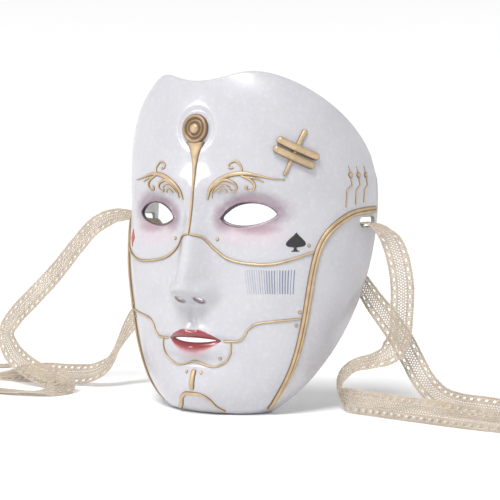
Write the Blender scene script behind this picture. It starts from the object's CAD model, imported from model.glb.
import math

import bmesh
import bpy
import numpy as np
from bpy.props import FloatProperty, FloatVectorProperty, IntProperty, PointerProperty
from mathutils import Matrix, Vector


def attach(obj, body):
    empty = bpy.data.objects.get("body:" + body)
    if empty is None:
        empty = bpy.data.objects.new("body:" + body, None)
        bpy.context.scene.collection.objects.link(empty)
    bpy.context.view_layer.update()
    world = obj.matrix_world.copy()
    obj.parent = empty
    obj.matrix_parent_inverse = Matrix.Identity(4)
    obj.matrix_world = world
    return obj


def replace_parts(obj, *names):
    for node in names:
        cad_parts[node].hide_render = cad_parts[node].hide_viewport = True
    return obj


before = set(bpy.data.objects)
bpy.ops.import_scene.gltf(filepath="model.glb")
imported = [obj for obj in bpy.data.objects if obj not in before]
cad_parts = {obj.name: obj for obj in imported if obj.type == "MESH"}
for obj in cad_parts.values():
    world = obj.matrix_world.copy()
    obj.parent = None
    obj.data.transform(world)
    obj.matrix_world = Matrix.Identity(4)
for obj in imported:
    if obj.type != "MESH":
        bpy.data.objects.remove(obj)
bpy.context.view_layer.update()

bl_info = {
    "name": "Venetian masquerade mask",
    "version": (1, 0, 0),
    "blender": (4, 5, 0),
    "location": "View3D > Sidebar > Mask",
    "description": "A moulded masquerade mask with gilt relief, a painted face and lace ribbon ties",
    "category": "Object",
}

BODY = "root"
MM = 0.001
RAD = math.pi / 180

# Driving dimensions in millimetres, as in the frame
HEIGHT = 240.0
HALF_WIDTH = 96.0
WIDEST_Z = 150.0
REAR_Y = 57.0
FRONT_Y = -36.0
NARROWED_BELOW, NARROWED_ABOVE = 162.0, 105.0    # where the oval would close, from its widest level
RIM_IN_BELOW, RIM_IN_ABOVE = 55.0, 36.0          # how far the rim comes forward at chin and crown
CHIN_ROUND, CHIN_BACK = 24.0, 13.0
CROWN_Z, CROWN_BACK = 190.0, 8.0
EDGE_LOW, EDGE_RISE, EDGE_DIP = 165.0, 77.0, 9.0    # the top edge: at the temples, its arch, its notch
FOOT_THICK = 3.0
FOOT_REAR_Y = 1.5
THIRD = HEIGHT / 3
NOSE_Z = THIRD
BROW_Z = 2 * THIRD
MOUTH_Z = THIRD * 2 / 3
EYE_Z = 139.5
EYE_X = 2 * HALF_WIDTH / 5
EYE_HALF = EYE_X / 2 - 1
EYE_UP = 9.0
EYE_DOWN = 6.5
EYE_TILT = 1.5
MOUTH_HALF = 19.0
MOUTH_UP = 1.6
SLOT = {"y": 42.0, "z": 135.0, "length": 20.0, "height": 8.0}
MEDALLION = (0.0, 200.0)
CLIP = (45.0, 183.0)
CLIP_TILT = -25.0
STUD_Z = 168.0


# ---------------------------------------------------------------- face surface

def bump(x, z, cx, cz, rx, rz):
    return np.exp(-((x - cx) / rx) ** 2 - ((z - cz) / rz) ** 2)


def smooth(low, high, value):
    k = np.clip((value - low) / (high - low), 0, 1)
    return k * k * (3 - 2 * k)


def half_width(z):
    below = np.maximum(0, (WIDEST_Z - z) / NARROWED_BELOW)
    above = np.maximum(0, (z - WIDEST_Z) / NARROWED_ABOVE)
    return HALF_WIDTH * np.sqrt(1 - below ** 2.4 - above ** 2.6)


def rim_depth(z):
    below = np.maximum(0, (WIDEST_Z - z) / WIDEST_Z)
    above = np.maximum(0, (z - WIDEST_Z) / (HEIGHT - WIDEST_Z))
    return REAR_Y - RIM_IN_BELOW * below ** 1.6 - RIM_IN_ABOVE * above ** 2


def front_depth(z):
    chin = np.clip((CHIN_ROUND - z) / CHIN_ROUND, 0, 1)
    crown = np.maximum(0, (z - CROWN_Z) / (HEIGHT - CROWN_Z))
    return FRONT_Y + CHIN_BACK * (1 - np.sqrt(1 - chin ** 2)) + CROWN_BACK * crown ** 2


def nose(side, z):
    run = np.clip((152 - z) / 60, 0, 1)
    ridge = (4 + 17.2 * run ** 1.3) * np.exp(-(side / (7 + 4 * run)) ** 2.2)
    ends = smooth(NOSE_Z - 4, NOSE_Z + 10, z) * (1 - smooth(146, 168, z))
    return ridge * ends + 8 * bump(side, z, 13, NOSE_Z + 7, 6.5, 7.5)


def lips(side, z):
    upper = 3 * bump(side, z, 0, MOUTH_Z + 5, 22, 4.5)
    lower = 3.6 * bump(side, z, 0, MOUTH_Z - 6.5, 18, 5)
    parting = 2.4 * bump(side, z, 0, MOUTH_Z, 25, 2)
    return upper + lower - parting - 1.2 * bump(side, z, 0, NOSE_Z - 11, 3.5, 8)


def almond(side, z, cx, cz, half, up, down, tilt):
    """Signed distance, roughly, to a lid-shaped outline: negative inside it."""
    u = (side - cx) / half
    lift = np.maximum(0, 1 - u * u) ** 0.75
    middle = cz + tilt * u
    inside = np.maximum(z - middle - up * lift, middle - z - down * lift)
    return inside + np.maximum(0, np.abs(u) - 1) * half


def eye_gap(side, z):
    return almond(side, z, EYE_X, EYE_Z, EYE_HALF, EYE_UP, EYE_DOWN, EYE_TILT)


def fine_detail(side, z):
    gap = eye_gap(side, z)
    lid_rim = 1.0 * np.exp(-((gap - 1.4) / 1.3) ** 2)
    crease = 0.9 * np.exp(-((gap - 4.6) / 1.5) ** 2) * smooth(EYE_Z, EYE_Z + 5, z)
    from_centre = np.hypot(side - MEDALLION[0], z - MEDALLION[1])
    dish = 0.9 * np.exp(-((from_centre - 12.5) / 2.6) ** 2)
    bow = 0.7 * bump(side, z, 5.5, NOSE_Z - 17.5, 4, 2.2)
    columns = 0.7 * bump(side, z, 4.8, NOSE_Z - 10, 1.8, 8)
    return lid_rim - crease - dish + bow + columns


def relief(x, z):
    side = np.abs(x)
    brow = 3.5 * bump(side, z, 30, BROW_Z + 3, 34, 11)
    socket = 7 * bump(side, z, EYE_X, EYE_Z + 2, 21, 14)
    lids = 5.5 * bump(side, z, EYE_X, EYE_Z, 16, 9.5)
    cheek = 4 * bump(side, z, 56, 106, 27, 26)
    muzzle = 4 * bump(side, z, 0, MOUTH_Z + 3, 32, 22)
    chin = 5 * bump(side, z, 0, 19, 20, 13) - 2.5 * bump(side, z, 0, 37, 18, 6)
    coarse = brow - socket + lids + cheek + muzzle + chin
    return coarse + nose(side, z) + lips(side, z) + fine_detail(side, z)


def face_point(angle, z):
    """Points of the outer face in millimetres; angle runs from -90 to 90 degrees, rim to rim."""
    x = half_width(z) * np.sin(angle * RAD)
    wrap = np.maximum(0, np.cos(angle * RAD)) ** 0.85
    depth = rim_depth(z) - (rim_depth(z) - front_depth(z)) * wrap
    y = depth - relief(x, z) * np.minimum(1, 2 * wrap)
    return np.stack([x, y, z + 0 * x], axis=-1)


def unit(vectors):
    return vectors / np.maximum(np.linalg.norm(vectors, axis=-1, keepdims=True), 1e-9)


def face_normal(angle, z, reach=0.6):
    turn = np.clip(angle, -88.5, 88.5)
    high = np.clip(z, reach, HEIGHT - reach)
    across = face_point(turn + reach, high) - face_point(turn - reach, high)
    up = face_point(turn, high + reach) - face_point(turn, high - reach)
    return unit(np.cross(across, up))


def angle_at(x, z):
    return np.degrees(np.arcsin(np.asarray(x) / half_width(np.asarray(z, float))))


def front(stops):
    """Turns stops of x and z on the front of the face into stops of angle and z."""
    return [(float(angle_at(x, z)), z) for x, z in stops]


def mirrored(stops):
    return [(-across, z) for across, z in stops]


def travelled(points):
    """How far along the line each of its points is."""
    return np.concatenate([[0], np.cumsum(np.linalg.norm(np.diff(points, axis=0), axis=1))])


def sampled(marks, run, rows):
    return np.stack([np.interp(marks, run, rows[:, k]) for k in range(rows.shape[1])], axis=-1)


def evenly(dense, spacing):
    run = travelled(dense[:, :3])
    return sampled(np.linspace(0, run[-1], max(4, int(run[-1] / spacing) + 1)), run, dense)


def spline(stops, spacing):
    """Points of a smooth curve through the stops, evenly spaced, one row each."""
    points = np.array(stops, float)
    padded = np.vstack([2 * points[0] - points[1], points, 2 * points[-1] - points[-2]])
    dense = []
    for i in range(len(points) - 1):
        a, b, c, d = padded[i:i + 4]
        t = np.linspace(0, 1, 40, endpoint=False)[:, None]
        dense.append(0.5 * (2 * b + (c - a) * t + (2 * a - 5 * b + 4 * c - d) * t ** 2
                            + (3 * b - a - 3 * c + d) * t ** 3))
    return evenly(np.vstack(dense + [points[-1:]]), spacing)


# ---------------------------------------------------------------- meshes

def fill_layers(mesh, floats, uv):
    """Writes each named list of one number per point, and the UVs of every point."""
    for label, values in floats.items():
        layer = mesh.attributes.new(label, "FLOAT", "POINT")
        layer.data.foreach_set("value", np.asarray(values, np.float32))
    if uv is not None:
        layer = mesh.uv_layers.new(name="along")
        corners = np.empty(len(mesh.loops), np.int32)
        mesh.loops.foreach_get("vertex_index", corners)
        layer.data.foreach_set("uv", np.asarray(uv, np.float32)[corners].ravel())


def linked(name, mesh):
    made = bpy.data.objects.new(name, mesh)
    bpy.context.scene.collection.objects.link(made)
    return made


def new_mesh(name, points, faces, materials, slot, floats, uv=None, indices=None):
    """A smooth-shaded piece from points in millimetres, at the origin and riding on the body."""
    mesh = bpy.data.meshes.new(name)
    mesh.from_pydata((np.asarray(points) * MM).tolist(), [], [list(map(int, face)) for face in faces])
    mesh.validate()
    mesh.shade_smooth()
    for each in materials:
        mesh.materials.append(each)
    if indices is not None:
        mesh.polygons.foreach_set("material_index", np.asarray(indices, np.int32))
    fill_layers(mesh, floats, uv)
    piece = linked(name, mesh)
    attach(piece, BODY)
    return piece


class Build:
    """Gathers several closed shapes into one mesh."""

    def __init__(self):
        self.points, self.faces, self.crest, self.uv = [], [], [], []
        self.count = 0

    def add(self, points, faces, crest=None, uv=None):
        points = np.asarray(points, float).reshape(-1, 3)
        self.points.append(points)
        self.faces.extend([[int(i) + self.count for i in face] for face in faces])
        self.crest.append(np.ones(len(points)) if crest is None else np.asarray(crest, float).ravel())
        self.uv.append(np.zeros((len(points), 2)) if uv is None else np.asarray(uv, float).reshape(-1, 2))
        self.count += len(points)

    def take(self, mesh):
        """Adds a plain mesh in metres, which is then removed."""
        points = np.empty(len(mesh.vertices) * 3, np.float32)
        mesh.vertices.foreach_get("co", points)
        crest = np.ones(len(mesh.vertices), np.float32)
        if "crest" in mesh.attributes:
            mesh.attributes["crest"].data.foreach_get("value", crest)
        self.add(points.reshape(-1, 3) / MM, [list(face.vertices) for face in mesh.polygons], crest)
        bpy.data.meshes.remove(mesh)

    def piece(self, name, material, slot):
        return new_mesh(name, np.vstack(self.points), self.faces, [material], slot,
                        {"crest": np.concatenate(self.crest)}, np.vstack(self.uv))


def ring_faces(rings, sides):
    """Faces of a stack of rings, whose first and last rings are capped."""
    faces = []
    for i in range(rings - 1):
        for j in range(sides):
            k = (j + 1) % sides
            faces.append([i * sides + j, i * sides + k, (i + 1) * sides + k, (i + 1) * sides + j])
    faces.append(list(range(sides))[::-1])
    faces.append([(rings - 1) * sides + j for j in range(sides)])
    return faces


def tube(path, radius, sides=4, closed=False, squash=1.0):
    """Vertices, faces and running UVs of a thin tube whose path lies in the x-y plane."""
    path = np.asarray(path, float)
    step = np.roll(path, -1, 0) - np.roll(path, 1, 0)
    if not closed:
        step[0], step[-1] = path[1] - path[0], path[-1] - path[-2]
    ahead = unit(step)
    aside = unit(np.cross([0, 0, 1.0], ahead))
    above = np.cross(ahead, aside)
    turn = (np.arange(sides) + 0.5) / sides * 2 * math.pi
    rings = (path[:, None] + radius * np.cos(turn)[None, :, None] * aside[:, None]
             + radius * squash * np.sin(turn)[None, :, None] * above[:, None])
    run = travelled(path)
    uv = np.stack(np.meshgrid(np.arange(sides) / sides, run), axis=-1)
    faces = []
    for i in range(len(path) if closed else len(path) - 1):
        n = (i + 1) % len(path)
        for j in range(sides):
            k = (j + 1) % sides
            faces.append([i * sides + j, i * sides + k, n * sides + k, n * sides + j])
    return rings.reshape(-1, 3), faces, uv.reshape(-1, 2)


# ---------------------------------------------------------------- repeats along a route

def node_tree(name, sockets):
    """An empty Geometry Nodes tree with the named inputs, and a function that adds nodes to it."""
    tree = bpy.data.node_groups.new(name, "GeometryNodeTree")
    tree.interface.new_socket("Geometry", in_out="INPUT", socket_type="NodeSocketGeometry")
    for label, kind in sockets:
        tree.interface.new_socket(label, in_out="INPUT", socket_type=kind)
    tree.interface.new_socket("Geometry", in_out="OUTPUT", socket_type="NodeSocketGeometry")
    start = tree.nodes.new("NodeGroupInput")

    def add(kind, settings=None, **sockets):
        made = tree.nodes.new(kind)
        for key, value in (settings or {}).items():
            setattr(made, key, value)
        for key, value in sockets.items():
            target = made.inputs[int(key[1:])] if key[0] == "i" and key[1:].isdigit() else made.inputs[key]
            if isinstance(value, bpy.types.NodeSocket):
                tree.links.new(value, target)
            else:
                target.default_value = value
        return made

    def end(kept, material):
        """Shades the geometry smooth, gives it the material and hands it out."""
        smooth_faces = add("GeometryNodeSetShadeSmooth", Geometry=kept)
        solid = add("GeometryNodeRealizeInstances", Geometry=smooth_faces.outputs[0])
        painted = add("GeometryNodeSetMaterial", Geometry=solid.outputs[0], Material=material)
        tree.links.new(painted.outputs[0], tree.nodes.new("NodeGroupOutput").inputs[0])
        return tree

    return tree, start.outputs, add, end


def vector_of(sockets, name=None):
    """The vector socket among those that a node has under one name, one for each kind of data."""
    return next(s for s in sockets if s.type == "VECTOR" and name in (None, s.name))


def route_tree():
    """Repeats the incoming mesh along X, then bends the row along the route."""
    tree, given, add, end = node_tree("Repeat along a route", [
        ("Route", "NodeSocketObject"), ("Repeat length", "NodeSocketFloat"), ("Repeats", "NodeSocketInt"),
        ("Unevenness", "NodeSocketFloat"), ("Seed", "NodeSocketFloat"), ("Material", "NodeSocketMaterial")])
    step = add("ShaderNodeCombineXYZ", X=given["Repeat length"])
    row = add("GeometryNodeMeshLine", {"mode": "OFFSET"}, Count=given["Repeats"], Offset=step.outputs[0])
    copies = add("GeometryNodeInstanceOnPoints", Points=row.outputs[0], Instance=given["Geometry"])
    real = add("GeometryNodeRealizeInstances", Geometry=copies.outputs[0])
    joined = add("GeometryNodeMergeByDistance", Geometry=real.outputs[0], Distance=2e-6)
    place = add("GeometryNodeInputPosition")
    wander = add("ShaderNodeTexNoise", {"noise_dimensions": "4D"},
                 Vector=place.outputs[0], W=given["Seed"], Scale=420.0, Detail=1.0)
    centred = add("ShaderNodeVectorMath", {"operation": "SUBTRACT"}, i0=wander.outputs["Color"])
    centred.inputs[1].default_value = (0.5, 0.5, 0.5)
    shift = add("ShaderNodeVectorMath", {"operation": "SCALE"}, i0=centred.outputs[0],
                Scale=given["Unevenness"])
    uneven = add("GeometryNodeSetPosition", Geometry=joined.outputs[0], Offset=shift.outputs[0])
    found = add("GeometryNodeObjectInfo", {"transform_space": "ORIGINAL"}, Object=given["Route"])
    curve = add("GeometryNodeMeshToCurve", Mesh=found.outputs["Geometry"])
    parts = add("ShaderNodeSeparateXYZ", Vector=place.outputs[0])
    bent = None
    for axis, label in ((1, "side"), (2, "out")):
        field = add("GeometryNodeInputNamedAttribute", {"data_type": "FLOAT_VECTOR"}, Name=label)
        sample = add("GeometryNodeSampleCurve", {"mode": "LENGTH", "data_type": "FLOAT_VECTOR"},
                     Curves=curve.outputs[0], Length=parts.outputs[0])
        tree.links.new(vector_of(field.outputs), vector_of(sample.inputs, "Value"))
        drawn = vector_of(sample.outputs, "Value")
        moved = add("ShaderNodeVectorMath", {"operation": "SCALE"}, i0=drawn, Scale=parts.outputs[axis])
        before = sample.outputs["Position"] if bent is None else bent.outputs[0]
        bent = add("ShaderNodeVectorMath", {"operation": "ADD"}, i0=before, i1=moved.outputs[0])
    laid = add("GeometryNodeSetPosition", Geometry=uneven.outputs[0], Position=bent.outputs[0])
    return end(laid.outputs[0], given["Material"])


def grown(obj, tree, values):
    """The plain mesh that a Geometry Nodes tree makes of obj, which is then removed."""
    modifier = obj.modifiers.new("grow", "NODES")
    modifier.node_group = tree
    for item in tree.interface.items_tree:
        if item.in_out == "INPUT" and item.name in values:
            modifier[item.identifier] = values[item.name]
    depsgraph = bpy.context.evaluated_depsgraph_get()
    mesh = bpy.data.meshes.new_from_object(obj.evaluated_get(depsgraph), preserve_all_data_layers=True,
                                           depsgraph=depsgraph)
    obj.modifiers.remove(modifier)
    old = obj.data
    bpy.data.objects.remove(obj)
    bpy.data.meshes.remove(old)
    return mesh


def closed(mesh):
    """The same mesh with its open ends filled and its faces turned outwards."""
    work = bmesh.new()
    work.from_mesh(mesh)
    open_edges = [edge for edge in work.edges if edge.is_boundary]
    if open_edges:
        bmesh.ops.holes_fill(work, edges=open_edges, sides=0)
    bmesh.ops.recalc_face_normals(work, faces=work.faces)
    work.to_mesh(mesh)
    work.free()
    return mesh


def loose_object(name, points, edges=(), faces=(), vectors=None, crest=None, uv=None):
    """A helper object in metres that isn't part of the mask and is removed after use."""
    mesh = bpy.data.meshes.new(name)
    mesh.from_pydata(np.asarray(points, float).tolist(), list(edges), [list(map(int, f)) for f in faces])
    for label, values in (vectors or {}).items():
        layer = mesh.attributes.new(label, "FLOAT_VECTOR", "POINT")
        layer.data.foreach_set("vector", np.asarray(values, np.float32).ravel())
    fill_layers(mesh, {} if crest is None else {"crest": crest}, uv)
    return linked(name, mesh)


def follow(points, sides, outs, repeat, repeats, material, unevenness=0.0, seed=0):
    """Bends copies of one repeat (points, faces, crest, uv; its x runs 0 to 1) along a route in mm."""
    points = np.asarray(points, float) * MM
    length = float(travelled(points)[-1])
    pitch = length * (1 - 1e-6) / repeats
    route = loose_object("route", points, edges=[(i, i + 1) for i in range(len(points) - 1)],
                         vectors={"side": np.asarray(sides), "out": np.asarray(outs)})
    shape, faces, crest, uv = repeat
    flat = np.array(shape, float) * [pitch, 1, 1]
    helper = loose_object("repeat", flat, faces=faces, crest=crest, uv=uv)
    tree = bpy.data.node_groups.get("Repeat along a route") or route_tree()
    mesh = grown(helper, tree, {"Route": route, "Repeat length": pitch, "Repeats": repeats,
                                "Unevenness": unevenness * MM, "Seed": float(seed), "Material": material})
    line = route.data
    bpy.data.objects.remove(route)
    bpy.data.meshes.remove(line)
    return closed(mesh)


# ---------------------------------------------------------------- gilt relief

def half_round(sides=12):
    turn = np.linspace(math.pi, 0, sides)
    return np.stack([np.cos(turn), np.sin(turn)], axis=-1)


def flat_round(sides=16):
    across = -np.cos(np.linspace(0, math.pi, sides))
    return np.stack([across, (1 - across ** 2) ** 0.32], axis=-1)


def double_ridge(sides=22):
    across = -np.cos(np.linspace(0, math.pi, sides))
    rise = np.sqrt(np.maximum(0, 1 - across ** 2)) ** 0.7
    return np.stack([across, rise * (1 - 0.62 * np.exp(-(across / 0.16) ** 2))], axis=-1)


ROOT = -0.4    # how far a raised line goes into the face, in its own heights


def section_repeat(profile):
    """One step of a raised line of that cross-section, for the route tree."""
    ring = np.vstack([profile, [[profile[-1][0] * 0.96, ROOT], [profile[0][0] * 0.96, ROOT]]])
    count = len(ring)
    points = [(x, across, rise) for x in (0, 1) for across, rise in ring]
    faces = [[k, (k + 1) % count, count + (k + 1) % count, count + k] for k in range(count)]
    crest = np.tile(np.maximum(0, ring[:, 1]), 2)
    return points, faces, crest, [(0, 0)] * len(points)


def spread(values, count):
    values = np.atleast_1d(np.asarray(values, float))
    return np.interp(np.linspace(0, 1, count), np.linspace(0, 1, len(values)), values)


def relief_line(build, stops, width, height, profile=None, spacing=0.8, ease=(0.6, 0.6), lift=0.0):
    """A raised line over the face; width and height may be lists, spread evenly along it."""
    path = spline(stops, 0.35)
    points = face_point(path[:, 0], path[:, 1])
    outs = face_normal(path[:, 0], path[:, 1])
    run = travelled(points)
    marks = np.linspace(0, run[-1], max(6, int(run[-1] / spacing) + 1))
    points = sampled(marks, run, points)
    outs = unit(sampled(marks, run, outs))
    begin = np.sqrt(1 - np.clip(1 - marks / ease[0], 0, 1) ** 2)
    finish = np.sqrt(1 - np.clip(1 - (run[-1] - marks) / ease[1], 0, 1) ** 2)
    swell = np.clip(begin * finish, 0.05, 1)
    sides = unit(np.cross(unit(np.gradient(points, axis=0)), outs))
    wide = (spread(width, len(marks)) / 2 * swell)[:, None] * sides * MM
    high = (spread(height, len(marks)) * swell)[:, None] * outs * MM
    repeat = section_repeat(half_round() if profile is None else profile)
    build.take(follow(points + lift * outs, wide, high, repeat, len(marks) - 1, None))


def seat_basis(angle, z):
    out = face_normal(np.float64(angle), np.float64(z), 3.0)
    across = unit(np.cross([0, 0, 1.0], out))
    return face_point(np.float64(angle), np.float64(z)), across, np.cross(out, across), out


def turned(build, stop, profile, segments=48):
    """A lathe-turned boss on the face: rows of radius and height, from its foot to its middle."""
    place, across, up, out = seat_basis(*stop)
    top = max(height for _, height in profile)
    rows, crest = [], []
    for radius, height in profile:
        turn = np.arange(segments) / segments * 2 * math.pi
        rows.append(place + radius * (np.cos(turn)[:, None] * across + np.sin(turn)[:, None] * up)
                    + height * out)
        crest.append(np.full(segments, max(0, height) / top))
    build.add(np.vstack(rows), ring_faces(len(rows), segments), np.concatenate(crest))


# ---------------------------------------------------------------- finishes

class Wire:
    """A shader socket that Python's arithmetic turns into Math nodes."""

    def __init__(self, finish, socket):
        self.finish, self.socket = finish, socket

    def math(self, operation, *values):
        return self.finish.node("ShaderNodeMath", {"operation": operation}, dict(enumerate(values)))

    def __add__(self, other):
        return self.math("ADD", self, other)

    def __sub__(self, other):
        return self.math("SUBTRACT", self, other)

    def __rsub__(self, other):
        return self.math("SUBTRACT", other, self)

    def __mul__(self, other):
        return self.math("MULTIPLY", self, other)

    def __truediv__(self, other):
        return self.math("DIVIDE", self, other)

    def __lt__(self, other):
        return self.math("LESS_THAN", self, other)

    def __gt__(self, other):
        return self.math("GREATER_THAN", self, other)

    __radd__ = __add__
    __rmul__ = __mul__

    def size(self):
        return self.math("ABSOLUTE", self)

    def squared(self):
        return self.math("MULTIPLY", self, self)

    def least(self, other):
        return self.math("MINIMUM", self, other)

    def most(self, other):
        return self.math("MAXIMUM", self, other)

    def wave(self, turns):
        return self.math("SINE", self * (turns * 2 * math.pi))

    def fade(self, low, high):
        """0 at low and 1 at high, eased; low may be the larger of the two."""
        sockets = {0: self, 1: low, 2: high}
        return self.finish.node("ShaderNodeMapRange", {"interpolation_type": "SMOOTHSTEP"}, sockets)


class Finish:
    """One material and the ways in which nodes are added to it."""

    def __init__(self, name):
        self.material = bpy.data.materials.new(name)
        self.material.use_nodes = True
        self.tree = self.material.node_tree
        self.tree.nodes.clear()
        spot = self.node("ShaderNodeTexCoord", out="Object")
        self.place = self.node("ShaderNodeVectorMath", {"operation": "SCALE"}, {0: spot, "Scale": 1 / MM})
        self.x, self.y, self.z = (self.node("ShaderNodeSeparateXYZ", None, {0: self.place}, out=k)
                                  for k in range(3))

    def node(self, kind, settings=None, sockets=None, out=0):
        made = self.tree.nodes.new(kind)
        for key, value in (settings or {}).items():
            setattr(made, key, value)
        for key, value in (sockets or {}).items():
            if isinstance(value, Wire):
                self.tree.links.new(value.socket, made.inputs[key])
            else:
                made.inputs[key].default_value = value
        return Wire(self, made.outputs[out])

    def noise(self, scale, detail):
        """Noise whose scale is in features per millimetre."""
        return self.node("ShaderNodeTexNoise", None, {"Vector": self.place, "Scale": scale, "Detail": detail})

    def mix(self, amount, first, second):
        first, second = (c if isinstance(c, Wire) else (*c[:3], 1) for c in (first, second))
        return self.node("ShaderNodeMix", {"data_type": "RGBA"}, {0: amount, 6: first, 7: second}, out=2)

    def given(self, attribute):
        return self.node("ShaderNodeAttribute", {"attribute_name": attribute}, out="Fac")

    def bump(self, height, strength, distance):
        return self.node("ShaderNodeBump", None, {"Height": height, "Strength": strength,
                                                  "Distance": distance * MM})

    def spot(self, cx, cz, rx, rz, side=None):
        """Squared distance from a point of the front, in units of rx and rz."""
        across = (side or self.x) - cx
        return (across * (1 / rx)).squared() + ((self.z - cz) * (1 / rz)).squared()

    def surface(self, **sockets):
        sockets = {key.replace("_", " "): value for key, value in sockets.items()}
        shader = self.node("ShaderNodeBsdfPrincipled", None, sockets)
        end = self.tree.nodes.new("ShaderNodeOutputMaterial")
        self.tree.links.new(shader.socket, end.inputs[0])
        return self.material


def shade(colour, *factors):
    """A colour made darker or lighter by one factor, or by one for each channel."""
    return [c * k for c, k in zip(colour, factors if len(factors) == 3 else factors * 3)]


def lace_thread():
    f = Finish("Ecru crochet cotton")
    around = f.node("ShaderNodeUVMap", {"uv_map": "along"})
    u, v = (f.node("ShaderNodeSeparateXYZ", None, {0: around}, out=k) for k in range(2))
    ply = (u * 2 + v * 1.4).wave(1)
    fuzz = f.noise(3.5, 4.0)
    drift = f.noise(0.06, 2.0)
    base = f.mix(drift.fade(0.35, 0.68), shade(look().lace, 0.82), look().lace)
    shaded = f.mix(ply.fade(0.2, -1) * 0.55, base, shade(look().lace, 0.58, 0.5, 0.42))
    tint = f.mix(fuzz.fade(0.5, 0.75) * 0.35, shaded, (0.93, 0.88, 0.78))
    relief_ = f.bump(ply * 0.5 + fuzz * 0.6, 0.6, 0.15)
    return f.surface(Base_Color=tint, Roughness=0.62 + 0.3 * fuzz, Normal=relief_,
                     Sheen_Weight=0.35, Sheen_Roughness=0.5, Specular_IOR_Level=0.25)


def floor_paper():
    f = Finish("Pale paper floor")
    grain = f.noise(0.05, 3.0)
    base = f.mix(grain, (0.965, 0.965, 0.968), (0.985, 0.985, 0.985))
    return f.surface(Base_Color=base, Roughness=0.9, Specular_IOR_Level=0.1)


def pearl_face():
    f = Finish("Painted pearl face")
    side = f.x.size()
    cloud = f.noise(0.045, 3.0)
    grain = f.noise(1.1, 3.0)
    mottle = f.noise(0.35, 2.0)
    base = f.mix(cloud.fade(0.35, 0.7), look().pearl, shade(look().pearl, 0.95))
    base = f.mix(mottle.fade(0.45, 0.8) * 0.15, base, (0.80, 0.79, 0.82))
    # Airbrushed shadow round the eyes
    tail = f.spot(EYE_X + 3, EYE_Z + 3.5, 23, 12.5, side)
    fold = f.spot(EYE_X - 2, EYE_Z + 7, 20, 8.5, side)
    under = f.spot(EYE_X + 5, EYE_Z - 8, 17, 5.5, side)
    corner = f.spot(EYE_X - 17, EYE_Z - 1, 8.5, 11, side)
    mist = cloud * 0.5 + mottle * 0.3
    haze = (tail + mist).fade(2.0, 0.3) * 0.85
    haze = haze.most((fold + mist).fade(1.7, 0.3) * 0.92)
    haze = haze.most((under + mist).fade(1.8, 0.2) * 0.7)
    haze = haze.most((corner + mist).fade(1.9, 0.3) * 0.75)
    base = f.mix(haze, base, look().shadow)
    lid = f.given("lid")
    line = (lid + mottle * 0.5 + side.fade(EYE_X - 12, EYE_X + 6) * 1.5).fade(2.4, 1.7) * (f.z > 100)
    base = f.mix(line * 0.93, base, (0.012, 0.009, 0.012))
    nostril = f.spot(8, NOSE_Z + 1.3, 4.6, 3.0, side).fade(1.25, 0.4)
    base = f.mix(nostril * 0.85, base, (0.16, 0.07, 0.08))
    blush = f.spot(EYE_X + 2, EYE_Z - 12, 24, 9, side)
    base = f.mix((blush + mist).fade(2.0, 0.3) * 0.22, base, (0.72, 0.42, 0.46))
    # Painted lips, deep at the parting and the corners, pale along the lower edge
    across = (f.x * (1 / 21.5)).squared()
    arch = (1 - across).most(0)
    bow = f.spot(0, MOUTH_Z, 5.5, 400, f.x).fade(1, 0) * 1.3
    above = (f.z - MOUTH_Z) / (arch * 8.6 - bow + 0.01)
    below = (MOUTH_Z - f.z) / (arch * 10.5 + 0.01)
    wobble = mottle * 0.14
    upper = (above + wobble).fade(1.12, 0.96) * (f.z - MOUTH_Z + 0.3).fade(-0.3, 0.3)
    lower = (below + wobble).fade(1.2, 0.55) * (MOUTH_Z - f.z + 0.3).fade(-0.3, 0.3)
    mouth = upper.most(lower) * arch.fade(0.0, 0.06)
    parting = (above.size().least(below.size())).fade(0.75, 0.0)
    red = f.mix(parting * 0.8, look().lip, (0.11, 0.004, 0.008))
    base = f.mix(mouth * 0.96, base, red)
    glow = (below - 0.95).size().fade(0.3, 0.0) * arch * (MOUTH_Z - f.z).fade(0, 1)
    base = f.mix(glow * 0.4, base, (0.80, 0.42, 0.44))
    # A band of fine upright bars on one cheek
    lean = (f.x - 53) / (1 + (f.z - 94) * 0.006)
    cell = lean / 1.5
    order = f.node("ShaderNodeMath", {"operation": "FLOOR"}, {0: cell})
    chance = f.node("ShaderNodeTexWhiteNoise", {"noise_dimensions": "1D"}, {"W": order + 0.5})
    inside = cell - order
    bar = (inside - 0.5).size() < (chance * 0.2 + 0.1)
    block = (lean.size() < 15.0) * ((f.z - 94.5).size() < (8.6 - chance * 0.5)) * (f.y < 0)
    faded = lean.fade(-22, 12) * 0.6 + 0.3
    base = f.mix(bar * block * faded, base, (0.14, 0.17, 0.27))
    # Handling marks and one hairline in the coat
    crack = f.noise(0.12, 6.0)
    hair = (crack - 0.5).size().fade(0.004, 0.0) * f.spot(33, 33, 14, 12).fade(1, 0.2)
    scratch = (f.x - f.z * 0.98 - 26 + mottle).size().fade(0.3, 0.0) * f.z.fade(19, 14) * f.z.fade(0.5, 3)
    hair = hair.most(scratch * (f.y < 0) * 0.8)
    base = f.mix(hair * 0.5, base, (0.42, 0.38, 0.42))
    smear = f.noise(0.02, 5.0)
    rough = 0.24 + 0.16 * smear - mouth * 0.1 + haze * 0.16
    relief_ = f.bump(grain * 0.5 + mottle * 0.4 - hair, 0.16, 0.12)
    return f.surface(Base_Color=base, Roughness=rough, Normal=relief_, Coat_Weight=0.6 + 0.3 * mouth,
                     Coat_Roughness=0.1, Subsurface_Weight=0.04, Subsurface_Scale=0.004)


def inner_plain():
    f = Finish("Bare moulded back")
    cloud = f.noise(0.06, 4.0)
    grain = f.noise(0.9, 4.0)
    flow = f.noise(0.25, 2.0)
    base = f.mix(cloud, shade(look().pearl, 0.92), (0.84, 0.83, 0.82))
    return f.surface(Base_Color=base, Roughness=0.5 + 0.2 * grain,
                     Normal=f.bump(grain * 0.5 + flow * 0.8, 0.35, 0.3))


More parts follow.
